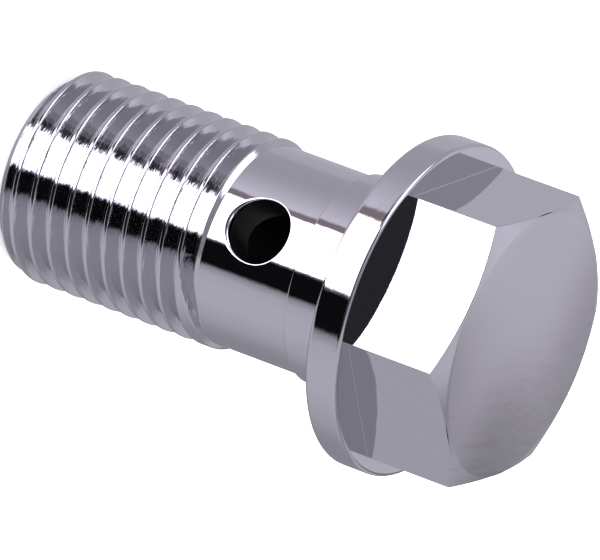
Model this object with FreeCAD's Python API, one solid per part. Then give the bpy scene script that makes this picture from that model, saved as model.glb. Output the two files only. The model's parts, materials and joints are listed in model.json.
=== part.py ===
import FreeCAD, Part
import math
import os

# Banjo bolt for an M10 x 1 hollow screw joint, turned from one bar of hexagon steel.
# Millimetres. The bolt stands on its threaded tip: the axis is Z, the tip face is z = 0
# and the hexagon head is at the top. The cross hole runs along Y.

# Shank, from the tip upwards
thread_diameter = 10.0
thread_length = 11.2
tip_chamfer = 0.8
neck_diameter = 9.5
neck_length = 4.75
pilot_diameter = 9.9
pilot_length = 3.0
underhead_chamfer = 0.15

# Right-hand metric thread: a groove with a narrow flat floor, which runs out before the neck
thread_pitch = 1.0
flank_angle = 60.0
crest_width = 0.22
root_width = 0.1
crest_height_at_corner = 0.34
runout_length = 0.95
runout_clearance = 0.03
cutter_overshoot = 0.1

# Round flange that presses on the sealing washer
flange_diameter = 15.6
flange_thickness = 1.7
flange_seat_bevel = 0.3
flange_top_bevel = 0.15

# Hexagon head
across_flats = 12.4
head_height = 4.8
corner_radius = 0.15
end_chamfer_angle = 24.0
end_chamfer_margin = 0.1

# Fluid passages: a blind bore up the axis and a hole across the neck
bore_diameter = 5.0
bore_mouth_chamfer = 0.3
bore_past_cross_hole = 0.5
drill_point_angle = 118.0
cross_hole_diameter = 3.0
cross_hole_edge_break = 0.15
cross_hole_below_pilot = 2.45

# Heights of the shoulders, worked out from the lengths above
neck_bottom = thread_length
pilot_bottom = neck_bottom + neck_length
seat_height = pilot_bottom + pilot_length
flange_top = seat_height + flange_thickness
head_top = flange_top + head_height
cross_hole_height = pilot_bottom - cross_hole_below_pilot
bore_depth = cross_hole_height + cross_hole_diameter / 2 + bore_past_cross_hole

Z_AXIS = FreeCAD.Vector(0, 0, 1)
Y_AXIS = FreeCAD.Vector(0, 1, 0)
ORIGIN = FreeCAD.Vector(0, 0, 0)


def at(radius, height):
    """A point of a turned profile, in the XZ plane."""
    return FreeCAD.Vector(radius, 0, height)


def closed_outline(corners):
    """Wire through radius and height pairs, back to the first one."""
    points = [at(radius, height) for radius, height in corners]
    return Part.makePolygon(points + points[:1])


def turned(corners):
    """Solid of revolution about Z from a closed outline of radius and height pairs."""
    return Part.Face(closed_outline(corners)).revolve(ORIGIN, Z_AXIS, 360)


def shank_and_flange():
    """Thread blank, necked channel, pilot and flange as one lathe profile."""
    thread_r = thread_diameter / 2
    neck_r = neck_diameter / 2
    pilot_r = pilot_diameter / 2
    flange_r = flange_diameter / 2
    thread_end_chamfer = thread_r - neck_r
    return turned([
        (0, 0),
        (thread_r - tip_chamfer, 0),
        (thread_r, tip_chamfer),
        (thread_r, neck_bottom - thread_end_chamfer),
        (neck_r, neck_bottom),
        (neck_r, pilot_bottom),
        (pilot_r, pilot_bottom),
        (pilot_r, seat_height - underhead_chamfer),
        (pilot_r + underhead_chamfer, seat_height),
        (flange_r - flange_seat_bevel, seat_height),
        (flange_r, seat_height + flange_seat_bevel),
        (flange_r, flange_top - flange_top_bevel),
        (flange_r - flange_top_bevel, flange_top),
        (0, flange_top),
    ])


def helix_path(bottom, top):
    """Helix of whole turns from bottom until it is past top, one edge for each turn."""
    turns = math.ceil((top - bottom) / thread_pitch)
    edges = []
    for turn in range(turns):
        piece = Part.makeHelix(thread_pitch, thread_pitch, thread_diameter / 2)
        piece.translate(Z_AXIS * (bottom + turn * thread_pitch))
        edges.extend(piece.Edges)
    return Part.Wire(edges)


def uncut_core(root_r, bottom, top):
    """What the thread tool leaves: inside its reach, then rising to just outside the neck."""
    kept_r = neck_diameter / 2 + runout_clearance
    inside_r = root_r - cutter_overshoot
    return turned([
        (0, bottom),
        (inside_r, bottom),
        (inside_r, neck_bottom - runout_length),
        (kept_r, neck_bottom - runout_clearance),
        (kept_r, top),
        (0, top),
    ])


def thread_groove():
    """Cutter that climbs one pitch for each turn and grows shallower towards the neck.

    The sweep can come out with its inside facing out, which its volume's sign tells.
    """
    thread_r = thread_diameter / 2
    flank_slope = math.tan(math.radians(flank_angle / 2))
    half_mouth = (thread_pitch - crest_width) / 2
    half_root = root_width / 2
    half_outer = half_mouth + cutter_overshoot * flank_slope
    root_r = thread_r - (half_mouth - half_root) / flank_slope
    outer_r = thread_r + cutter_overshoot
    groove_centre = crest_height_at_corner - thread_pitch / 2
    start = groove_centre - thread_pitch
    past_neck = neck_bottom + thread_pitch
    section = closed_outline([
        (root_r, start - half_root),
        (outer_r, start - half_outer),
        (outer_r, start + half_outer),
        (root_r, start + half_root),
    ])
    groove = helix_path(start, past_neck).makePipeShell([section], True, True)
    if groove.Volume < 0:
        groove.reverse()
    return groove.cut(uncut_core(root_r, start - thread_pitch, past_neck + 2 * thread_pitch))


def hexagon_head():
    """Hexagon with slightly rounded corners, its end turned to a shallow cone."""
    corner_reach = across_flats / math.sqrt(3)
    angles = [math.radians(60 * step) for step in range(6)]
    corners = [
        FreeCAD.Vector(corner_reach * math.cos(a), corner_reach * math.sin(a), flange_top)
        for a in angles
    ]
    hexagon = Part.Face(Part.makePolygon(corners + corners[:1]))
    prism = hexagon.extrude(Z_AXIS * head_height)
    upright = [
        edge for edge in prism.Edges
        if abs(edge.BoundBox.ZLength - head_height) < 1e-6
    ]
    prism = prism.makeFillet(corner_radius, upright)
    end_r = across_flats / 2 - end_chamfer_margin
    reach = corner_reach * 1.2
    drop = (reach - end_r) * math.tan(math.radians(end_chamfer_angle))
    envelope = turned([
        (0, flange_top),
        (reach, flange_top),
        (reach, head_top - drop),
        (end_r, head_top),
        (0, head_top),
    ])
    return prism.common(envelope)


def axial_bore():
    """Blind bore from the tip, with a drill point past the cross hole."""
    bore_r = bore_diameter / 2
    point = bore_r / math.tan(math.radians(drill_point_angle / 2))
    return turned([
        (0, 0),
        (bore_r + bore_mouth_chamfer, 0),
        (bore_r, bore_mouth_chamfer),
        (bore_r, bore_depth),
        (0, bore_depth + point),
    ])


def cross_hole():
    """Straight drill through both walls of the neck, along Y."""
    start = FreeCAD.Vector(0, -neck_diameter, cross_hole_height)
    return Part.makeCylinder(cross_hole_diameter / 2, 2 * neck_diameter, start, Y_AXIS)


def break_hole_edges(body):
    """Even chamfer on the two edges where the cross hole leaves the neck."""
    mid_wall = (bore_diameter + neck_diameter) / 4
    rims = [
        edge for edge in body.Edges
        if edge.isClosed()
        and abs(edge.BoundBox.Center.y) > mid_wall
        and abs(edge.BoundBox.Center.z - cross_hole_height) < cross_hole_diameter / 4
    ]
    return body.makeChamfer(cross_hole_edge_break, rims)


def banjo_bolt():
    """The whole bolt as one solid."""
    blank = shank_and_flange().fuse(hexagon_head()).removeSplitter()
    threaded = blank.cut(thread_groove())
    drilled = threaded.cut(axial_bore()).cut(cross_hole()).Solids[0]
    return break_hole_edges(drilled).Solids[0]


os.makedirs("parts", exist_ok=True)
bolt = banjo_bolt()
bolt.exportStep("parts/banjo_bolt.step")
print("volume mm3", round(bolt.Volume, 2), "valid", bolt.isValid(), "faces", len(bolt.Faces))
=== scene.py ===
# %% [markdown]
# # A chromed banjo bolt
#
# The object is one small steel bolt: a hollow threaded shank, a necked channel with a hole
# across it, a round flange and a hexagon head, all turned from one bar and chromed. The
# lesson builds its whole surface as one mesh, row by row like a lathe works, and then gives
# it a plated finish and a studio to reflect, because chrome has almost no colour of its own.
#
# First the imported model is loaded. It holds the bolt's plain solid, which sets every size.

# %% Load the frame
import json
import math
import bmesh
import bpy
import numpy as np
from mathutils import Matrix, Vector


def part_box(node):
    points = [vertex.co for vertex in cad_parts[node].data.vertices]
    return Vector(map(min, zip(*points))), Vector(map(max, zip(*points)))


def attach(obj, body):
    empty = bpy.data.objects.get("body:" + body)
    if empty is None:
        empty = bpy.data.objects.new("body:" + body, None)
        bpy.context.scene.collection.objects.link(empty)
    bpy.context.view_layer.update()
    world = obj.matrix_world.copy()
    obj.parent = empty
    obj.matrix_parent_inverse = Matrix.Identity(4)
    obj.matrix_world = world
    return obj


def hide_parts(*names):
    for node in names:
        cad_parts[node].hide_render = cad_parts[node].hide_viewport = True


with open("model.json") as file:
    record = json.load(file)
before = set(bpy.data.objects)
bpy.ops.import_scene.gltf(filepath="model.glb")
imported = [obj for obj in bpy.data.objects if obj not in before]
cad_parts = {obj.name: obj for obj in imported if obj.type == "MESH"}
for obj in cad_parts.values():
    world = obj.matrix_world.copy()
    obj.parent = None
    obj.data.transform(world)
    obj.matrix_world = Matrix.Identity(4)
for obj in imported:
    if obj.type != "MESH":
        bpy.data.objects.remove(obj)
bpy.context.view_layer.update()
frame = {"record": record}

scene = bpy.context.scene

# %% [markdown]
# ## Camera
#
# The photograph was taken from far away with a long lens, so the bolt shows almost no
# perspective. The camera stands a little to the side of the cross hole and looks down on the
# head. It is rolled, so that the standing bolt lies across the picture with its head at the
# right. The angles came from fitting the outline of the bolt in the photograph.

# %% Directions of the camera
VIEW_AZIMUTH = math.radians(8.381)
VIEW_ELEVATION = math.radians(27.662)
VIEW_ROLL = math.radians(-110.401)


def camera_axes(azimuth, elevation, roll):
    """Right, up and back directions of a camera that looks at the bolt."""
    back = Vector((math.sin(azimuth) * math.cos(elevation),
                   -math.cos(azimuth) * math.cos(elevation),
                   math.sin(elevation)))
    level = Vector((math.cos(azimuth), math.sin(azimuth), 0.0))
    up = math.cos(roll) * back.cross(level) + math.sin(roll) * level
    return up.cross(back), up, back


right, up, back = camera_axes(VIEW_AZIMUTH, VIEW_ELEVATION, VIEW_ROLL)
print("the camera looks along", [round(-part, 3) for part in back])

# %% Camera
VIEW_AIM = Vector((0.000754, 0.0, 0.013915))
VIEW_DISTANCE = 0.49489
FOCAL_LENGTH_MM = 662.9

lens = bpy.data.cameras.new("studio_camera")
lens.sensor_width = 36.0
lens.lens = FOCAL_LENGTH_MM
lens.clip_start = 0.01
lens.clip_end = 10.0
camera = bpy.data.objects.new("studio_camera", lens)
scene.collection.objects.link(camera)
camera.matrix_world = (Matrix.Translation(VIEW_AIM + back * VIEW_DISTANCE)
                       @ Matrix((right, up, back)).transposed().to_4x4())
scene.camera = camera
print("camera at", [round(v, 4) for v in camera.matrix_world.translation])

# %% [markdown]
# ## Sizes
#
# The mesh is made in millimetres, as a machinist thinks, and scaled to metres at the end.
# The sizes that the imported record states, such as the thread, the pilot and the bore, are
# read from it. The others repeat the drawing of the bolt.

# %% Sizes from the record
MM = 0.001
mounts = {mount["name"]: mount for mount in frame["record"]["mounts"]}
_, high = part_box("banjo_bolt")

thread_r = mounts["thread"]["dims"]["r_mm"]
neck_bottom = mounts["thread"]["dims"]["length_mm"]
pilot_r = mounts["pilot"]["dims"]["r_mm"]
bore_r = mounts["fluid_bore"]["dims"]["r_mm"]
seat_height = mounts["seat"]["pos_m"][2] / MM
head_height = mounts["hexagon"]["dims"]["length_mm"]
head_top = high[2] / MM
flange_r = high[1] / MM
print("flange radius", round(flange_r, 3), "top of the head", round(head_top, 3))

# %% Sizes from the drawing
PITCH = 1.0
tip_chamfer = 0.8
neck_r = 4.75
pilot_bottom = seat_height - 3.0
flange_top = head_top - head_height
across_flats = 12.4
end_face_r = 6.1
end_cone_angle = math.radians(24.0)
bore_end = 15.5
drill_point = bore_r / math.tan(math.radians(118.0) / 2)
cross_hole_r = 1.5
cross_hole_z = pilot_bottom - 2.45
print("neck from", round(neck_bottom, 3), "to", round(pilot_bottom, 3))

# %% [markdown]
# ## One set of columns for the whole bolt
#
# Every ring of the mesh uses the same directions round the axis, so rings of different
# parts join point to point. The directions come from the hexagon, whose rounded corners
# need extra points. The first direction is a corner of the hexagon.

# %% Hexagon with rounded corners
FLAT_STEPS = 28
CORNER_STEPS = 4
hexagon_corner_r = 0.06


def level_direction(degrees):
    """Direction (x, y) at an angle round the axis."""
    return np.array([math.cos(math.radians(degrees)), math.sin(math.radians(degrees))])


def hexagon_outline():
    """Points (x, y) round the rounded hexagon and the outward normal at each."""
    spots = []
    reach = (across_flats / 2 - hexagon_corner_r) / math.cos(math.radians(30))
    half_corner = range(CORNER_STEPS // 2)
    for side in range(0, 360, 60):
        corner, following = level_direction(side) * reach, level_direction(side + 60) * reach
        spots += [(corner, level_direction(side + 60 * step / CORNER_STEPS))
                  for step in half_corner]
        spots += [(corner * (1 - step / FLAT_STEPS) + following * (step / FLAT_STEPS),
                   level_direction(side + 30)) for step in range(FLAT_STEPS + 1)]
        spots += [(following, level_direction(side + 30 + 60 * step / CORNER_STEPS))
                  for step in half_corner[1:]]
    normals = np.array([normal for _, normal in spots])
    return np.array([centre for centre, _ in spots]) + normals * hexagon_corner_r, normals


hexagon_points, hexagon_normals = hexagon_outline()
print("points round the hexagon:", len(hexagon_points))

# %% Columns
columns = np.unwrap(np.arctan2(hexagon_points[:, 1], hexagon_points[:, 0]))
columns = np.append(columns, columns[0] + 2 * math.pi)
COLUMN_COUNT = len(columns) - 1
ring = np.stack([np.cos(columns), np.sin(columns)], axis=-1)
print("columns round the bolt:", COLUMN_COUNT)

# %% [markdown]
# ## Collecting patches with exact normals
#
# Polished metal shows the smallest error in a surface, because it turns every reflection.
# So each patch is made with its true normal at every point, taken from the formula of its
# shape, and not averaged from the faces round it. The patches go into one bmesh. Their
# normals wait on the corners of the faces, in a layer, until the mesh is finished.

# %% The bolt's skin
skin = bmesh.new()
true_normal = skin.loops.layers.float_vector.new("true_normal")
BRIGHT, SATIN, BORED, ROLLED = 0, 1, 2, 3


def unit(vectors):
    """The same vectors with length one."""
    return vectors / np.linalg.norm(vectors, axis=-1, keepdims=True)


def add_patch(points, normals, finish=BRIGHT):
    """A grid of points (rows, columns, 3) in millimetres becomes faces of the skin."""
    rows, across = points.shape[:2]
    verts = [[skin.verts.new(points[i, j]) for j in range(across)] for i in range(rows)]
    middle = rows // 2 - 1 if rows > 2 else 0
    a, b, c = points[middle, 0], points[middle, 1], points[middle + 1, 0]
    outward = np.dot(np.cross(b - a, c - a), normals[middle, 0]) > 0
    for i in range(rows - 1):
        for j in range(across - 1):
            corners = [(i, j), (i, j + 1), (i + 1, j + 1), (i + 1, j)]
            if not outward:
                corners.reverse()
            face = skin.faces.new([verts[p][q] for p, q in corners])
            face.smooth = True
            face.material_index = finish
            for loop, (p, q) in zip(face.loops, corners):
                loop[true_normal] = normals[p, q]


print("the skin starts with", len(skin.faces), "faces")

# %% [markdown]
# ## Turned surfaces
#
# A lathe makes a surface from one outline. The outline is a list of corners, each with the
# radius that breaks its edge: a plated part has no knife edges, and it is the small round
# on each edge that catches the thin bright lines in the photograph. The list runs so that
# the open air is always on its right-hand side.

# %% Outline with rounded corners
def rounded_outline(corners, arc_steps=5):
    """Points (radius, height) and outward normals along corners (radius, height, round)."""
    corners = [np.array(corner, float) for corner in corners]
    ways = [unit(after[:2] - before[:2]) for before, after in zip(corners, corners[1:])]
    points, normals = [corners[0][:2]], [np.array([ways[0][1], -ways[0][0]])]
    for corner, into, out in zip(corners[1:], ways, ways[1:]):
        first = np.array([into[1], -into[0]])
        turn = math.atan2(into[0] * out[1] - into[1] * out[0], float(into @ out))
        bend = corner[2] * math.copysign(1, turn)
        centre = corner[:2] - into * abs(corner[2] * math.tan(turn / 2)) - first * bend
        for angle in [turn * step / arc_steps for step in range(arc_steps + 1)]:
            c, s = math.cos(angle), math.sin(angle)
            normal = np.array([c * first[0] - s * first[1], s * first[0] + c * first[1]])
            points.append(centre + normal * bend)
            normals.append(normal)
    points.append(corners[-1][:2])
    normals.append(np.array([ways[-1][1], -ways[-1][0]]))
    return np.array(points), np.array(normals)


sample, _ = rounded_outline([(1, 0, 0), (1, 1, 0.1), (2, 1, 0)])
print("one rounded corner takes", len(sample) - 2, "points")


# %% Outline with closer points
def with_more_rows(points, normals, gap):
    """The same outline with extra points, so that none are further apart than the gap."""
    lengths = np.linalg.norm(np.diff(points, axis=0), axis=1)
    steps = np.maximum(1, np.ceil(lengths / gap)).astype(int)
    place = np.concatenate([k + np.arange(n) / n for k, n in enumerate(steps)] + [[len(steps)]])
    known = np.arange(len(points))
    return tuple(np.stack([np.interp(place, known, column) for column in part.T], axis=-1)
                 for part in (points, normals))


print("points with a gap of 0.2:", len(with_more_rows(sample, sample, 0.2)[0]))


# %% Spinning an outline
def add_turned(points, normals, finish=BRIGHT, first=0, last=None):
    """Spins an outline round the axis, over all columns or some of them."""
    around = ring[first:last]
    place = np.empty((len(points), len(around), 3))
    facing = np.empty_like(place)
    for i, ((radius, height), (outward, upward)) in enumerate(zip(points, normals)):
        place[i, :, :2], place[i, :, 2] = around * radius, height
        facing[i, :, :2], facing[i, :, 2] = around * outward, upward
    add_patch(place, facing, finish)


print("a ring has", len(ring), "points, the last one back on the first")

# %% [markdown]
# ## Bore and tip
#
# A drill leaves a cone at the end of its hole. From there the surface runs down the wall of
# the bore, round the chamfer at its mouth, and across the flat tip. The wall stops at the
# band where the cross hole breaks through, which has its own patch further on.

# %% Bore
band_below_hole = 2.2
bore_band = (cross_hole_z - band_below_hole, bore_end)
mouth_top = 3.0

add_turned(*rounded_outline([(0.0, bore_end + drill_point, 0), (bore_r, bore_end, 0)]), BORED)
add_turned(*rounded_outline([(bore_r, bore_band[0], 0), (bore_r, mouth_top, 0)]), BORED)
print("the drill point ends at", round(bore_end + drill_point, 2))

# %% Mouth of the bore and tip
mouth_chamfer = 0.3
soft_edge = 0.08
thread_start = 0.05

add_turned(*rounded_outline([
    (bore_r, mouth_top, 0),
    (bore_r, mouth_chamfer, soft_edge),
    (bore_r + mouth_chamfer, 0.0, soft_edge),
    (thread_r - tip_chamfer, 0.0, soft_edge),
    (thread_r - tip_chamfer + thread_start, thread_start, 0),
]))
print("faces of bore and tip:", len(skin.faces))

# %% [markdown]
# ## Thread
#
# A thread is a groove that climbs one pitch for each turn. A grid of level rings would cut
# across it, so the rows here climb with it: each row is one line of the thread's profile,
# and one turn further it meets the row a pitch above. The profile is the metric one, with
# flanks 60 degrees apart, which the polish before plating opens by a degree on each side.
# The plating rounds its crests. Only a profile this deep sends light from flank to flank,
# which is why the real thread looks darker than the neck but shows the same bands.

# %% Profile of one pitch
crest_half = 0.08
crest_round = 0.11
root_round = 0.06
ROW_GAP = 0.085
FLANK_LEAN = math.radians(60 / 2 + 1)
sharp_root = thread_r - (PITCH / 2 - crest_half) / math.tan(FLANK_LEAN)

profile, profile_normals = rounded_outline([
    (thread_r, 0.0, 0),
    (thread_r, crest_half, crest_round),
    (sharp_root, PITCH / 2, root_round),
    (thread_r, PITCH - crest_half, crest_round),
    (thread_r, PITCH, 0),
], arc_steps=4)
profile, profile_normals = with_more_rows(profile, profile_normals, ROW_GAP)
profile_slope = -profile_normals[:, 1] / profile_normals[:, 0]
print("root radius", round(profile[:, 0].min(), 3), "rows in a pitch", len(profile) - 1)

# %% [markdown]
# ## Where the thread stops
#
# A chamfer cuts the thread off at the tip and another at the neck. The tool follows the
# helix at full depth until it reaches the second chamfer. There it runs out quickly: it
# moves on towards the neck and is drawn back at the same time, so the last groove closes
# from below within a tenth of a turn. It never cuts deeper than the neck.

# %% Chamfers and core
shoulder_step = 0.02
thread_end = neck_bottom - shoulder_step
CORE_STEP = 0.03
CORE_SLOPE = 2.0


def end_chamfers(height):
    """Radius that the two end chamfers leave, and its slope."""
    tip = thread_r - tip_chamfer + height
    shoulder = neck_r + (neck_bottom - height)
    return np.minimum(tip, shoulder), np.where(tip < shoulder, 1.0, -1.0)


def neck_core(height):
    """Radius below which the groove doesn't cut next to the neck, and its slope."""
    return (neck_r + CORE_STEP + CORE_SLOPE * (height - thread_end),
            np.full_like(height, CORE_SLOPE))


print("radius at the thread's end:", round(float(end_chamfers(thread_end)[0]), 3))

# %% Runout of the tool
RUNOUT_START = 10.165
RUNOUT_LENGTH = 0.15
RUNOUT_SHIFT = 0.65
RUNOUT_LIFT = 0.3
RUNOUT_POWER = 1.3


def tool_escape(travel):
    """Shift towards the neck, lift away from the axis, and how fast each one grows."""
    share = np.maximum(travel - RUNOUT_START, 0.0) / RUNOUT_LENGTH
    growth = share ** RUNOUT_POWER
    speed = RUNOUT_POWER * share ** (RUNOUT_POWER - 1) / RUNOUT_LENGTH
    return RUNOUT_SHIFT * growth, RUNOUT_LIFT * growth, RUNOUT_SHIFT * speed, RUNOUT_LIFT * speed


def soft_pick(first, second, blend, larger):
    """Larger or smaller of two (value, slope, turn) surfaces, with their edge rounded."""
    sign = 1.0 if larger else -1.0
    gap = first[0] - second[0]
    spread = np.sqrt(gap ** 2 + blend ** 2)
    share = 0.5 * (1 + sign * gap / spread)
    value = 0.5 * (first[0] + second[0] + sign * spread)
    return (value,) + tuple(share * a + (1 - share) * b for a, b in zip(first[1:], second[1:]))


print("the tool is drawn back", round(float(tool_escape(RUNOUT_START + 0.1)[1]), 2),
      "after a tenth of a turn")

# %% [markdown]
# ## Surface of the thread
#
# The radius at each point of the grid is what all the tools leave: the groove, the bar it
# is cut from, the core at the neck and the two chamfers. The slopes along and round the
# axis are worked out with it, since they give the normal.

# %% A grid that climbs with the thread
CREST_AT_CORNER = 0.34
CLIMB_PER_RADIAN = PITCH / (2 * math.pi)


def climbing_grid():
    """Angle round the axis, height, and place within the pitch, for each point."""
    turns = int(math.ceil(thread_end / PITCH)) + 2
    starts = np.concatenate([k * PITCH + profile[:-1, 1] for k in range(-2, turns)])
    angle = np.broadcast_to(columns, (len(starts), len(columns)))
    height = starts[:, None] + CREST_AT_CORNER + angle * CLIMB_PER_RADIAN
    level = np.clip(height, thread_start, thread_end)
    climbed = (level - CREST_AT_CORNER - angle * CLIMB_PER_RADIAN) % PITCH
    climbed = np.where(np.abs(climbed - PITCH) < 1e-6, 0.0, climbed)
    used = [i for i in range(len(starts) - 1)
            if height[i + 1].max() > thread_start and height[i].min() < thread_end]
    rows = slice(used[0], used[-1] + 2)
    return angle[rows], level[rows], climbed[rows]


angle, level, climbed = climbing_grid()
print("rows along the thread:", len(level))


# %% What the tools leave
CREST_BLEND = 0.02
CORE_BLEND = 0.03
CHAMFER_BLEND = 0.04


def threaded_surface(level, climbed):
    """Radius at each point, and its slopes along the axis and round it."""
    shift, lift, shifting, lifting = tool_escape(level - climbed)
    climbed = np.maximum(climbed - shift, 0.0)
    slope = np.interp(climbed, profile[:, 1], profile_slope)
    groove = (np.interp(climbed, profile[:, 1], profile[:, 0]) + lift, slope,
              (lifting - slope * (1 + shifting)) * CLIMB_PER_RADIAN)
    still = np.zeros_like(level)
    bar = (thread_r + still, still, still)
    crest_blend = 1e-5 + CREST_BLEND * np.clip(lift / 0.1, 0, 1)
    ridge = soft_pick(groove, bar, crest_blend, larger=False)
    ridge = soft_pick(ridge, neck_core(level) + (still,), CORE_BLEND, larger=True)
    return soft_pick(ridge, end_chamfers(level) + (still,), CHAMFER_BLEND, larger=False)


radius, climb, turn = threaded_surface(level, climbed)
radius = np.where(level == thread_end, neck_r + neck_bottom - thread_end, radius)
radius = np.where(level == thread_start, thread_r - tip_chamfer + thread_start, radius)
print("threaded radius from", round(float(radius.min()), 3), "to", round(float(radius.max()), 3))

# %% Thread
place = np.stack([radius * np.cos(angle), radius * np.sin(angle), level], axis=-1)
facing = np.stack([np.cos(angle) + turn / radius * np.sin(angle),
                   np.sin(angle) - turn / radius * np.cos(angle),
                   -climb], axis=-1)
add_patch(place, unit(facing), ROLLED)
print("faces so far:", len(skin.faces))

# %% [markdown]
# ## Neck and cross hole
#
# The neck is a plain cylinder, apart from the window where the cross hole comes out. The
# window is filled by rings that change little by little from its straight border to the
# round mouth of the hole, and each point is put back onto the cylinder. The same is done
# inside, where the hole meets the bore, and the wall of the hole joins the two.

# %% Border of a window
side_columns = COLUMN_COUNT // 6
half_side = side_columns // 2


def window_border(radius, first, last, span, upright_steps, middle):
    """Points (sideways, height) round a window, seen along the hole, and its heights."""
    angles = columns[first:last + 1] - middle
    heights = np.linspace(*span, upright_steps + 1)
    border = [(a, heights[0]) for a in angles[:-1]]
    border += [(angles[-1], h) for h in heights[:-1]]
    border += [(a, heights[-1]) for a in angles[::-1][:-1]]
    border += [(angles[0], h) for h in heights[::-1]]
    border = np.array(border)
    return np.stack([radius * np.sin(border[:, 0]), border[:, 1]], axis=-1), heights


print("one side of the hexagon has", side_columns, "columns")


# %% Points on a cylinder
def hole_axes(middle):
    """Directions out along the hole, across it and up."""
    return (np.array([math.cos(middle), math.sin(middle), 0.0]),
            np.array([-math.sin(middle), math.cos(middle), 0.0]),
            np.array([0.0, 0.0, 1.0]))


def on_cylinder(flat, radius, middle, depth=0.0):
    """Puts (sideways, height) points onto a cylinder round the axis, with its normals."""
    along, across, upward = hole_axes(middle)
    out = np.sqrt(radius ** 2 - flat[..., 0] ** 2)
    sideways = flat[..., :1] * across
    place = (out - depth)[..., None] * along + sideways + flat[..., 1:] * upward
    return place, (out[..., None] * along + sideways) / radius


print("half of the hole takes", round(math.degrees(math.asin(cross_hole_r / neck_r)), 1),
      "degrees of the neck")


# %% Mouth of the hole
BREAK_WIDTH = 0.07
BREAK_GROWTH = 0.22
WINDOW_RINGS = 7
RING_CROWDING = 0.8


def edge_break(turn):
    """Width of the hole's broken edge, which the deburring tool cuts wider towards the tip."""
    return BREAK_WIDTH + BREAK_GROWTH * np.maximum(0.0, -np.sin(turn)) ** 2


def hole_circle(turn, radius):
    """Points (sideways, height) of a circle round the hole's axis."""
    return np.stack([radius * np.cos(turn), cross_hole_z + radius * np.sin(turn)], axis=-1)


def add_window(radius, half_width, span, upright_steps, middle_column, outside):
    """Fills a window round the hole; gives the mouth's directions, its points and heights."""
    middle = columns[middle_column]
    border, heights = window_border(radius, middle_column - half_width,
                                    middle_column + half_width, span, upright_steps, middle)
    turn = np.unwrap(np.arctan2(border[:, 1] - cross_hole_z, border[:, 0]))
    mouth = hole_circle(turn, cross_hole_r + outside * edge_break(turn))
    shares = np.linspace(0, 1, WINDOW_RINGS)[:, None, None] ** RING_CROWDING
    place, facing = on_cylinder(border * (1 - shares) + mouth * shares, radius, middle)
    add_patch(place, facing if outside else -facing, BRIGHT if outside else BORED)
    return turn, mouth, heights


print("broken edge from", round(float(edge_break(0.0)), 2), "to",
      round(float(edge_break(-math.pi / 2)), 2))


# %% Broken edge and wall of the hole
def add_broken_edge(turn, middle):
    """Quarter round from the neck into the hole; gives its innermost ring."""
    along, across, upward = hole_axes(middle)
    from_hole = np.cos(turn)[:, None] * across + np.sin(turn)[:, None] * upward
    width = edge_break(turn)
    rows, row_normals = [], []
    for angle in np.linspace(0, math.pi / 2, 6):
        circle = hole_circle(turn, cross_hole_r + width - width * math.sin(angle))
        place, facing = on_cylinder(circle, neck_r, middle, width * (1 - math.cos(angle)))
        rows.append(place)
        row_normals.append(unit(math.cos(angle) * facing - math.sin(angle) * from_hole))
    add_patch(np.array(rows), np.array(row_normals))
    return rows[-1]


def add_hole_wall(top, top_turn, bottom, bottom_turn, middle):
    """Straight wall from the broken edge to the bore."""
    along, across, upward = hole_axes(middle)
    rows, row_normals = [], []
    for share in np.linspace(0, 1, 5):
        turn = top_turn * (1 - share) + bottom_turn * share
        out = (top @ along) * (1 - share) + (bottom @ along) * share
        from_hole = np.cos(turn)[:, None] * across + np.sin(turn)[:, None] * upward
        rows.append(out[:, None] * along + from_hole * cross_hole_r + upward * cross_hole_z)
        row_normals.append(-from_hole)
    add_patch(np.array(rows), np.array(row_normals), BORED)


print("the neck's wall is", neck_r - bore_r, "thick")

# %% The hole through both walls of the neck
neck_start = neck_bottom + 0.1
neck_stop = pilot_bottom - 0.02
front = COLUMN_COUNT * 9 // 12
rear = COLUMN_COUNT * 3 // 12

for middle_column in (front, rear):
    middle = columns[middle_column]
    outer_turn, _, neck_heights = add_window(
        neck_r, half_side, (neck_start, neck_stop), 3 * half_side, middle_column, True)
    inner_turn, inner_mouth, bore_heights = add_window(
        bore_r, 2 * half_side, bore_band, half_side, middle_column, False)
    edge_ring = add_broken_edge(outer_turn, middle)
    bore_ring, _ = on_cylinder(inner_mouth, bore_r, middle)
    add_hole_wall(edge_ring, outer_turn, bore_ring, inner_turn, middle)
print("hole columns at", [round(math.degrees(columns[c])) for c in (front, rear)], "degrees")

# %% Walls beside the windows
for radius, heights, width, outward, finish in (
        (neck_r, neck_heights, half_side, 1.0, BRIGHT),
        (bore_r, bore_heights, 2 * half_side, -1.0, BORED)):
    line = np.stack([np.full_like(heights, radius), heights], axis=-1)
    line_normals = np.tile([outward, 0.0], (len(heights), 1))
    for first, last in ((rear + width, front - width), (front + width, COLUMN_COUNT),
                        (0, rear - width)):
        add_turned(line, line_normals, finish, first, last + 1)
print("faces with the neck:", len(skin.faces))

# %% [markdown]
# ## Pilot and flange
#
# Above the neck a short pilot centres the washer, and the flange presses on it. These are
# plain turned surfaces again, up to the ring where the hexagon stands on the flange.

# %% Shoulder below the neck, pilot and flange
flange_flat_r = flange_r - 0.35

add_turned(*rounded_outline([
    (neck_r + shoulder_step, thread_end, 0),
    (neck_r, neck_bottom, 0.05),
    (neck_r, neck_start, 0),
]))
add_turned(*rounded_outline([
    (neck_r, neck_stop, 0),
    (neck_r, pilot_bottom, 0.015),
    (pilot_r, pilot_bottom, 0.09),
    (pilot_r, seat_height, 0.2),
    (flange_r, seat_height, 0.27),
    (flange_r, flange_top, 0.2),
    (flange_flat_r, flange_top, 0),
], arc_steps=8))
print("faces with the flange:", len(skin.faces))

# %% [markdown]
# ## Hexagon head
#
# The head stands on the flange with hardly a fillet. Its end is turned to a shallow cone,
# which cuts each flat along a curve: high in the middle of a flat and low at a corner. The
# edge between flat and cone is rounded by turning the normal from one to the other.

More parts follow.
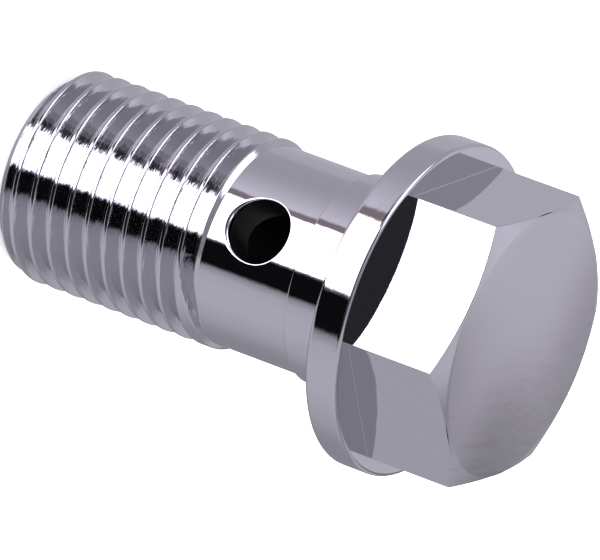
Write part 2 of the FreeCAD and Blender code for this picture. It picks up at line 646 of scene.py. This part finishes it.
# %% Directions round the head
def ring_at(flat, height):
    """Level ring of points from (x, y) pairs and one height or one for each point."""
    heights = np.broadcast_to(height, len(flat))
    return np.concatenate([flat, heights[:, None]], axis=1)


outline = np.append(hexagon_points, hexagon_points[:1], axis=0)
outward = np.append(hexagon_normals, hexagon_normals[:1], axis=0)
sideways = ring_at(outward, 0.0)
upward = np.tile([0.0, 0.0, 1.0], (len(outline), 1))
reach = np.linalg.norm(outline, axis=1)
radial = ring_at(outline / reach[:, None], 0.0)
print("the head reaches", round(float(reach.max()), 3), "at a corner")

# %% Flange top and foot of the head
FRONT_FLAT = 270
FLAT_REACH = 30.5
foot_round = 0.03
from_front = np.abs(np.degrees(columns) - FRONT_FLAT)
foot_fillet = np.where(from_front < FLAT_REACH, 0.0, foot_round)[:, None]
rim = ring * flange_flat_r
foot = outline + outward * foot_fillet

head_rows = [ring_at(rim, flange_top), ring_at((rim + foot) / 2, flange_top)]
head_facing = [upward, upward]
for lean in np.radians([0, 30, 60, 90]):
    head_rows.append(ring_at(foot - outward * foot_fillet * math.sin(lean),
                             flange_top + foot_fillet[:, 0] * (1 - math.cos(lean))))
    head_facing.append(unit(upward * math.cos(lean) + sideways * math.sin(lean)))
print("the sharp foot covers", int((foot_fillet == 0).sum()), "columns, at the front")

# %% Flats and their rounded upper edge
edge_round = 0.04
edge_height = head_top - (reach - end_face_r) * math.tan(end_cone_angle)
cone_facing = radial * math.sin(end_cone_angle) + upward * math.cos(end_cone_angle)
meeting = np.sum(sideways * cone_facing, axis=1, keepdims=True)
edge_centre = (ring_at(outline, edge_height)
               - edge_round * (sideways + cone_facing) / (1 + meeting))
wall_top = edge_centre + sideways * edge_round

wall_foot = head_rows[-1]
for share in (0.33, 0.67):
    head_rows.append(wall_foot * (1 - share) + wall_top * share)
    head_facing.append(sideways)
for share in np.linspace(0, 1, 6):
    blend = unit(sideways * (1 - share) + cone_facing * share)
    head_rows.append(edge_centre + blend * edge_round)
    head_facing.append(blend)
add_patch(np.array(head_rows), np.array(head_facing))
print("the flats end between", round(float(edge_height.min()), 2), "and",
      round(float(edge_height.max()), 2))

# %% [markdown]
# ## End of the head
#
# The cone and the end face have a satin finish, and the polish has taken the edge between
# them away. The end face looks flat, but its normals lean outwards a little towards its
# rim, because buffing always wears a face down at its edge. A flat normal would show one
# grey all over it, where the photograph has a slow change.

# %% Cone, running into the end face
face_round = 0.6
face_crown = math.radians(9)
face_cut = face_round * math.tan(end_cone_angle / 2)
flat_r = end_face_r - face_cut

cone_end = ring_at(ring * (end_face_r + face_cut * math.cos(end_cone_angle)),
                   head_top - face_cut * math.sin(end_cone_angle))
end_rows = [head_rows[-1], (head_rows[-1] + cone_end) / 2, cone_end]
end_facing = [cone_facing, cone_facing, cone_facing]
for share in np.linspace(0, 1, 7)[1:]:
    slope_angle = end_cone_angle * (1 - share)
    end_rows.append(ring_at(ring * (flat_r + face_round * math.sin(slope_angle)),
                            head_top - face_round * (1 - math.cos(slope_angle))))
    lean = face_crown + (end_cone_angle - face_crown) * (1 - share)
    end_facing.append(radial * math.sin(lean) + upward * math.cos(lean))
add_patch(np.array(end_rows), np.array(end_facing), SATIN)
print("the end face is flat to radius", round(flat_r, 2))

# %% End face
disc, disc_facing = [], []
for share in (1.0, 0.8, 0.6, 0.4, 0.2, 0.0):
    crown = face_crown * share
    disc.append(ring_at(ring * flat_r * share, head_top))
    disc_facing.append(radial * math.sin(crown) + upward * math.cos(crown))
add_patch(np.array(disc), np.array(disc_facing), SATIN)
print("faces with the head:", len(skin.faces))

# %% [markdown]
# ## From patches to one object
#
# The patches touch but don't share points yet, so points closer than a thousandth of a
# millimetre are welded. Then every edge must have two faces. The waiting normals are read
# after the weld, which drops the flat faces at the axis, and are set on the mesh.

# %% Close the skin and make the object
WELD = 1e-6
bmesh.ops.scale(skin, vec=(MM, MM, MM), verts=skin.verts)
bmesh.ops.remove_doubles(skin, verts=skin.verts, dist=WELD)
bmesh.ops.dissolve_degenerate(skin, edges=skin.edges, dist=1e-9)
open_edges = [edge for edge in skin.edges if len(edge.link_faces) != 2]
corner_normals = [tuple(loop[true_normal]) for face in skin.faces for loop in face.loops]

bolt_mesh = bpy.data.meshes.new("plated_bolt")
skin.to_mesh(bolt_mesh)
skin.free()
bolt_mesh.normals_split_custom_set(corner_normals)
bolt = bpy.data.objects.new("plated_bolt", bolt_mesh)
scene.collection.objects.link(bolt)
print("faces", len(bolt_mesh.polygons), "open edges", len(open_edges))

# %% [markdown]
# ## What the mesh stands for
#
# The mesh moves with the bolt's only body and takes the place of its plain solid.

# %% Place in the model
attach(bolt, "root")
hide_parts("banjo_bolt")
print("plated_bolt replaces banjo_bolt")

# %% [markdown]
# ## Helpers for shader nodes
#
# The finishes and the studio are built from small groups of nodes with named inputs and
# outputs, so that one group serves in many places, each time with values of its own.

# %% Groups and links
def new_group(name, inputs, outputs):
    """An empty shader group with named sockets, and its two end nodes."""
    group = bpy.data.node_groups.new(name, "ShaderNodeTree")
    for label, kind, value in inputs:
        socket = group.interface.new_socket(label, in_out="INPUT", socket_type=kind)
        socket.default_value = value
    for label, kind in outputs:
        group.interface.new_socket(label, in_out="OUTPUT", socket_type=kind)
    return group, group.nodes.new("NodeGroupInput"), group.nodes.new("NodeGroupOutput")


def feed(tree, socket, source):
    """Gives an input its number, colour or vector, or links it to another socket."""
    if hasattr(source, "is_linked"):
        tree.links.new(source, socket)
    else:
        socket.default_value = source


print("node groups so far:", len(bpy.data.node_groups))

# %% [markdown]
# ## Chrome
#
# Chrome plate is a mirror with a faint cool tint. Under the gloss the steel is never quite
# flat, so a very low bump bends the reflections a little. All finishes share one ripple,
# each at its own scale. On the thread it is squeezed along the axis, which gives the fine
# waves that rolling leaves along the groove and the ragged edges of the bands there.

# %% Plating ripple, shared by all finishes
ripple, ripple_in, ripple_out = new_group(
    "plating_ripple",
    [("Scale", "NodeSocketFloat", 900.0), ("Detail", "NodeSocketFloat", 4.0),
     ("Stretch", "NodeSocketVector", (1.0, 1.0, 1.0))],
    [("Height", "NodeSocketFloat")])
spot = ripple.nodes.new("ShaderNodeTexCoord")
stretched = ripple.nodes.new("ShaderNodeVectorMath")
stretched.operation = "MULTIPLY"
feed(ripple, stretched.inputs[0], spot.outputs["Object"])
feed(ripple, stretched.inputs[1], ripple_in.outputs["Stretch"])
noise = ripple.nodes.new("ShaderNodeTexNoise")
feed(ripple, noise.inputs["Vector"], stretched.outputs["Vector"])
feed(ripple, noise.inputs["Scale"], ripple_in.outputs["Scale"])
feed(ripple, noise.inputs["Detail"], ripple_in.outputs["Detail"])
feed(ripple, ripple_out.inputs["Height"], noise.outputs["Fac"])
print("group", ripple.name, "has", len(ripple.nodes), "nodes")


# %% One finish
CHROME = (0.55, 0.545, 0.57)


def plated(name, colour, roughness, bump, scale, squeeze=1.0):
    """A metallic finish with the plating ripple."""
    material = bpy.data.materials.new(name)
    material.use_nodes = True
    tree = material.node_tree
    shader = tree.nodes["Principled BSDF"]
    shader.inputs["Base Color"].default_value = (*colour, 1.0)
    shader.inputs["Metallic"].default_value = 1.0
    shader.inputs["Roughness"].default_value = roughness
    group = tree.nodes.new("ShaderNodeGroup")
    group.node_tree = ripple
    group.inputs["Scale"].default_value = scale
    group.inputs["Stretch"].default_value = (1.0, 1.0, squeeze)
    relief = tree.nodes.new("ShaderNodeBump")
    relief.inputs["Strength"].default_value = 1.0
    relief.inputs["Distance"].default_value = bump
    feed(tree, relief.inputs["Height"], group.outputs["Height"])
    feed(tree, shader.inputs["Normal"], relief.outputs["Normal"])
    return material


bright = plated("bright_chrome", CHROME, roughness=0.04, bump=0.000007, scale=900.0)
print("nodes in a finish:", len(bright.node_tree.nodes))

# %% Finishes of the bolt
BUFFED = (0.47, 0.465, 0.488)
# The bore and the walls of the cross hole get a near-black base colour: painted shade for the
# inside of the bore and the hole. Their rougher gloss is the bored steel's own.
BORE_PAINTED_SHADE = (0.12, 0.11, 0.115)

satin = plated("satin_chrome", BUFFED, roughness=0.22, bump=0.000003, scale=2500.0)
bored = plated("bored_steel", BORE_PAINTED_SHADE, roughness=0.3, bump=0.000001, scale=2500.0)
rolled = plated("rolled_thread_chrome", CHROME, roughness=0.05, bump=0.000026, scale=500.0,
                squeeze=9.0)
for finish in (bright, satin, bored, rolled):
    bolt_mesh.materials.append(finish)
print("finishes:", [finish.name for finish in bolt_mesh.materials])

# %% [markdown]
# ## Handled end face
#
# The satin end face isn't quite even: towards one side the plating is faintly clouded, a
# little darker and warmer, in smears that all run one way, as on a bolt wiped by hand.
# Noise makes the smears, stretched along the wipe, and a slow step across the bolt keeps
# them to one side.

# %% Clouded plating
WIPE_DIRECTION = math.radians(108.0)
SMEAR_LENGTH = 5.0
SMEAR_EDGES = (0.42, 0.68)


def smooth_range(tree, value, start, end):
    """0 below the start and 1 above the end, with a smooth change between."""
    node = tree.nodes.new("ShaderNodeMapRange")
    node.interpolation_type = "SMOOTHSTEP"
    for label, source in (("Value", value), ("From Min", start), ("From Max", end)):
        feed(tree, node.inputs[label], source)
    return node.outputs["Result"]


clouds, clouds_in, clouds_out = new_group(
    "clouded_plating",
    [("Scale", "NodeSocketFloat", 2300.0), ("Strength", "NodeSocketFloat", 1.0)],
    [("Mask", "NodeSocketFloat")])
spot = clouds.nodes.new("ShaderNodeTexCoord").outputs["Object"]
wiped = clouds.nodes.new("ShaderNodeMapping")
wiped.vector_type = "TEXTURE"
wiped.inputs["Rotation"].default_value = (0.0, 0.0, WIPE_DIRECTION)
wiped.inputs["Scale"].default_value = (SMEAR_LENGTH, 1.0, 1.0)
feed(clouds, wiped.inputs["Vector"], spot)
blotch = clouds.nodes.new("ShaderNodeTexNoise")
blotch.inputs["Detail"].default_value = 6.0
blotch.inputs["Roughness"].default_value = 0.65
feed(clouds, blotch.inputs["Vector"], wiped.outputs["Vector"])
feed(clouds, blotch.inputs["Scale"], clouds_in.outputs["Scale"])
smears = smooth_range(clouds, blotch.outputs["Fac"], *SMEAR_EDGES)
print("smears are", SMEAR_LENGTH, "times as long as wide")

# %% Arithmetic and mixed colours
def math_node(tree, operation, *sources):
    """Result of a math node whose inputs are numbers or sockets."""
    node = tree.nodes.new("ShaderNodeMath")
    node.operation = operation
    for socket, source in zip(node.inputs, sources):
        feed(tree, socket, source)
    return node.outputs[0]


def mixed_colour(tree, factor, first, second):
    """First colour where the factor is 0, second where it is 1."""
    node = tree.nodes.new("ShaderNodeMix")
    node.data_type = "RGBA"
    for socket, source in ((node.inputs["Factor"], factor), (node.inputs[6], first),
                           (node.inputs[7], second)):
        feed(tree, socket, source)
    return node.outputs[2]


print("nodes of the clouds so far:", len(clouds.nodes))

# %% The clouded side
CLOUDED_SIDE = (0.77, 0.64, 0.0)
SIDE_EDGES = (-0.002, 0.006)
STAINED = (0.42, 0.403, 0.415)

sideness = clouds.nodes.new("ShaderNodeVectorMath")
sideness.operation = "DOT_PRODUCT"
feed(clouds, sideness.inputs[0], spot)
feed(clouds, sideness.inputs[1], CLOUDED_SIDE)
side = smooth_range(clouds, sideness.outputs["Value"], *SIDE_EDGES)
masked = math_node(clouds, "MULTIPLY", smears, side)
masked = math_node(clouds, "MULTIPLY", masked, clouds_in.outputs["Strength"])
feed(clouds, clouds_out.inputs["Mask"], masked)

stain = satin.node_tree.nodes.new("ShaderNodeGroup")
stain.node_tree = clouds
tinted = mixed_colour(satin.node_tree, stain.outputs["Mask"],
                      (*BUFFED, 1.0), (*STAINED, 1.0))
feed(satin.node_tree, satin.node_tree.nodes["Principled BSDF"].inputs["Base Color"], tinted)
print("group", clouds.name, "has", len(clouds.nodes), "nodes")

# %% [markdown]
# ## Studio
#
# What the chrome shows is the studio round it. The sky of the scene is that studio, built
# from soft-edged panels: a white softbox, a black card beside it, and grey walls. It is
# tied to the world and not to the camera, so it stays put when the bolt is seen from
# another side. One group makes a panel: a mask that is 1 between a left and a right
# heading and between a low and a high elevation, all in degrees.

# %% Panel of the studio
panel, panel_in, panel_out = new_group(
    "studio_panel",
    [("Azimuth", "NodeSocketFloat", 0.0), ("Elevation", "NodeSocketFloat", 0.0),
     ("Left", "NodeSocketFloat", -10.0), ("Right", "NodeSocketFloat", 10.0),
     ("Low", "NodeSocketFloat", -10.0), ("High", "NodeSocketFloat", 10.0),
     ("Softness", "NodeSocketFloat", 2.0)],
    [("Mask", "NodeSocketFloat")])
given = panel_in.outputs


def soft_step(value, edge):
    """0 below a panel's edge and 1 above it, as soft as the panel asks."""
    return smooth_range(panel, value, math_node(panel, "SUBTRACT", edge, given["Softness"]),
                        math_node(panel, "ADD", edge, given["Softness"]))


width = math_node(panel, "SUBTRACT", given["Right"], given["Left"])
half_width = math_node(panel, "MULTIPLY", width, 0.5)
centre = math_node(panel, "ADD", given["Left"], half_width)
away = math_node(panel, "SUBTRACT", given["Azimuth"], centre)
away = math_node(panel, "ABSOLUTE", math_node(panel, "WRAP", away, 180.0, -180.0))
inside = math_node(panel, "SUBTRACT", half_width, away)
no_width = math_node(panel, "MULTIPLY", width, 0.0)
wide = soft_step(inside, no_width)
tall = math_node(panel, "SUBTRACT", soft_step(given["Elevation"], given["Low"]),
                 soft_step(given["Elevation"], given["High"]))
feed(panel, panel_out.inputs["Mask"], math_node(panel, "MULTIPLY", wide, tall))
print("group", panel.name, "has", len(panel.nodes), "nodes")

# %% [markdown]
# ## Direction of a ray
#
# The sky gets a direction for each ray that leaves the scene. Here it becomes a heading,
# with 0 towards the camera, and a rise above the floor, both in degrees.

# %% Heading and rise
CAMERA_HEADING = math.degrees(VIEW_AZIMUTH) - 90.0

world = bpy.data.worlds.new("studio")
scene.world = world
world.use_nodes = True
sky = world.node_tree
split = sky.nodes.new("ShaderNodeSeparateXYZ")
feed(sky, split.inputs["Vector"], sky.nodes.new("ShaderNodeTexCoord").outputs["Generated"])
heading = math_node(sky, "ARCTAN2", split.outputs["Y"], split.outputs["X"])
heading = math_node(sky, "DEGREES", heading)
heading = math_node(sky, "SUBTRACT", heading, CAMERA_HEADING)
heading = math_node(sky, "WRAP", heading, 180.0, -180.0)
rise = math_node(sky, "DEGREES", math_node(sky, "ARCSINE", split.outputs["Z"]))
print("heading 0 lies", round(CAMERA_HEADING, 1), "degrees round from the x axis")

# %% [markdown]
# ## Walls of the studio
#
# The walls are grey all the way round, lighter beside the softbox and darker opposite it.
# Their brightness follows the neck of the bolt in the photograph, which is a cylinder and
# so shows every heading once.

# %% Walls
LILAC = (1.04, 1.0, 1.15)
WALL_STOPS = [
    (-180, 0.5), (-150, 0.575), (-139, 0.585), (-127, 0.61), (-121, 0.55), (-116, 0.52),
    (-92, 0.52), (-85, 0.55), (-79, 0.58), (-73, 0.64), (-67, 0.70), (-61, 0.77),
    (-55, 0.86), (-40, 0.88), (30, 0.35), (39, 0.38), (47, 0.63), (60, 0.67), (75, 0.67),
    (83, 0.655), (95, 0.60), (107, 0.545), (119, 0.45), (131, 0.385), (143, 0.35),
    (158, 0.32), (170, 0.30), (180, 0.5)]


def tinted_light(brightness, tint):
    """Colour of a light with its brightness and tint."""
    return (*[brightness * part for part in tint], 1)


walls = sky.nodes.new("ShaderNodeValToRGB")
ramp = walls.color_ramp
ramp.elements.remove(ramp.elements[1])
for degrees, brightness in WALL_STOPS:
    stop = ramp.elements[0] if degrees == -180 else ramp.elements.new((degrees + 180) / 360)
    stop.position = (degrees + 180) / 360
    stop.color = tinted_light(brightness, LILAC)
feed(sky, walls.inputs["Fac"], math_node(sky, "MULTIPLY_ADD", heading, 1 / 360, 0.5))
print("stops round the walls:", len(ramp.elements))

# %% [markdown]
# ## Panels in front of the walls
#
# Each panel lies over those before it in the list. The softbox makes the white band along
# the bolt, and the black card beside it makes the black one. The low edge of three panels
# lies just above the light that the neck picks up, so that they only show in the thread,
# where the light has gone from flank to flank.

# %% Panels
BROWN = (1.25, 1.0, 1.12)
PANELS = [
    # name, brightness, tint, left, right, low, high, softness
    ("upper_back_wall_left", 0.84, LILAC, -178, -131, 33, 75, 6),
    ("screen_behind_the_bolt", 0.75, LILAC, -188, -155, 8, 40, 8),
    ("glow_on_the_back_wall", 1.10, LILAC, -152, -138, 47, 65, 3),
    ("back_wall_right", 0.60, LILAC, 138, 172, -5, 42, 9),
    ("dark_gap_right", 0.29, LILAC, 158, 177, -34, 30, 4),
    ("grey_strip_at_the_back", 0.42, LILAC, 172, 187, -34, 17, 4),
    ("ceiling_right", 0.80, LILAC, 120, 175, 60, 90, 6),
    ("dark_ceiling_left", 0.25, LILAC, -133, -100, 38, 80, 2.5),
    ("dim_wall_right", 0.36, LILAC, 100, 137, 30, 62, 4),
    ("dark_ceiling_front", 0.14, LILAC, -70, 70, 76, 100, 4),
    ("lamp_left", 3.5, LILAC, -108, -52, 30, 60, 4),
    ("brown_edge_of_the_softbox", 0.27, BROWN, -51, -43, -90, 15, 1.5),
    ("shade_beside_the_softbox", 0.48, LILAC, -66, -44, -26.3, 12, 1.1),
    ("deep_shade_beside_it", 0.27, LILAC, -57, -44, -26.3, 12, 1.1),
    ("softbox", 4.5, LILAC, -43.5, 9, -90, 14, 1.5),
    ("frame_of_the_softbox", 0.06, LILAC, -50.5, -38.2, -26.3, 12, 1.1),
    ("black_card", 0.006, LILAC, 10, 38, -90, 60, 2.5),
    ("black_cloth_above", 0.05, LILAC, -45, 38, 20, 50, 5),
    ("gap_above_the_cloth", 0.34, LILAC, -50, 40, 53, 72, 5),
]
colour = walls.outputs["Color"]
for name, brightness, tint, *edges in PANELS:
    mask = sky.nodes.new("ShaderNodeGroup")
    mask.node_tree = panel
    mask.label = name
    feed(sky, mask.inputs["Azimuth"], heading)
    feed(sky, mask.inputs["Elevation"], rise)
    for label, degrees in zip(("Left", "Right", "Low", "High", "Softness"), edges):
        feed(sky, mask.inputs[label], degrees)
    colour = mixed_colour(sky, mask.outputs["Mask"], colour, tinted_light(brightness, tint))
print("panels:", len(PANELS))

# %% [markdown]
# ## Even light for everything else
#
# Only mirror rays see the panels. All other rays get one even white, so the floor is lit
# like paper in a light tent, and the bolt stands on it with only a faint shadow.

# %% Plain light
PLAIN_LIGHT = 2.6
rays = sky.nodes.new("ShaderNodeLightPath")
seen = mixed_colour(sky, rays.outputs["Is Glossy Ray"],
                    (PLAIN_LIGHT, PLAIN_LIGHT, PLAIN_LIGHT, 1), colour)
feed(sky, sky.nodes["Background"].inputs["Color"], seen)
print("nodes in the sky:", len(sky.nodes))

# %% [markdown]
# ## Floor
#
# The floor is a sheet of white paper, wide enough to fill the view from above. Mirror rays
# pass it by, because in the photograph the bolt hangs free and the lower panels show in it.

# %% Floor
floor_skin = bmesh.new()
bmesh.ops.create_grid(floor_skin, x_segments=1, y_segments=1, size=2.0)
floor_mesh = bpy.data.meshes.new("studio_floor")
floor_skin.to_mesh(floor_mesh)
floor_skin.free()
floor = bpy.data.objects.new("studio_floor", floor_mesh)
scene.collection.objects.link(floor)

paper = bpy.data.materials.new("white_paper")
paper.use_nodes = True
paper_shader = paper.node_tree.nodes["Principled BSDF"]
paper_shader.inputs["Base Color"].default_value = (0.9, 0.9, 0.9, 1)
paper_shader.inputs["Roughness"].default_value = 1.0
floor_mesh.materials.append(paper)
floor.visible_glossy = False
print("floor of", [round(side, 1) for side in floor.dimensions], "metres")

# %% [markdown]
# ## Picture
#
# The standard view transform keeps the white of the softbox white and the black card
# black, as on a product photograph.

# %% Colours of the picture
scene.view_settings.view_transform = "Standard"
scene.view_settings.look = "None"
print("view transform:", scene.view_settings.view_transform)
